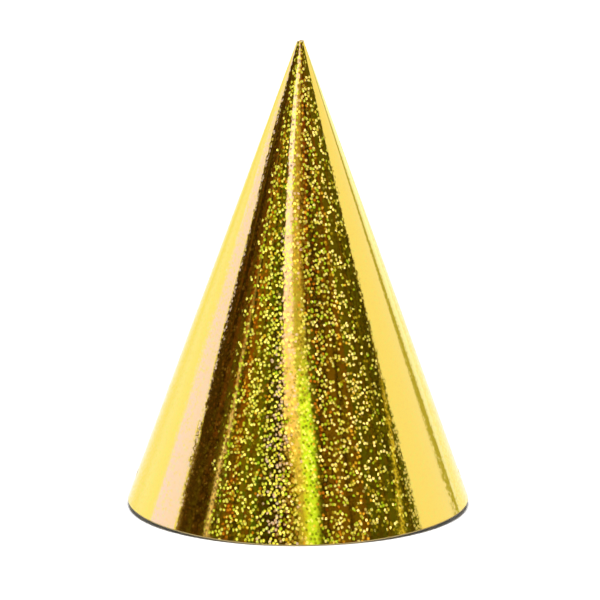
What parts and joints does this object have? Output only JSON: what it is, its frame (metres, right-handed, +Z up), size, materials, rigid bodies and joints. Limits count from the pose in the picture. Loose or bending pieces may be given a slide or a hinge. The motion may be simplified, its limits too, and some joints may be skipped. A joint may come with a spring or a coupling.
{
  "type": "cone party hat",
  "caption": "Tall cone party hat of holographic gold card, rolled and glued down a back seam, with two punched holes for a chin cord.",
  "frame": {"origin": "centre of the rim, in the plane the hat stands on", "axes": "+Z up the cone to its tip, -Y the front, +Y the seam at the back, -X and +X the cord holes at the ears"},
  "size_m": [0.1157, 0.116, 0.16],
  "materials": {
    "card": "uncoated white board, matte",
    "film": "gold metallised holographic film, mirror gloss with glitter flakes",
    "adhesive": "dried glue, matte"
  },
  "bodies": {
    "root": {"card_cone": "card", "holographic_film": "film", "seam_adhesive": "adhesive"}
  },
  "joints": []
}
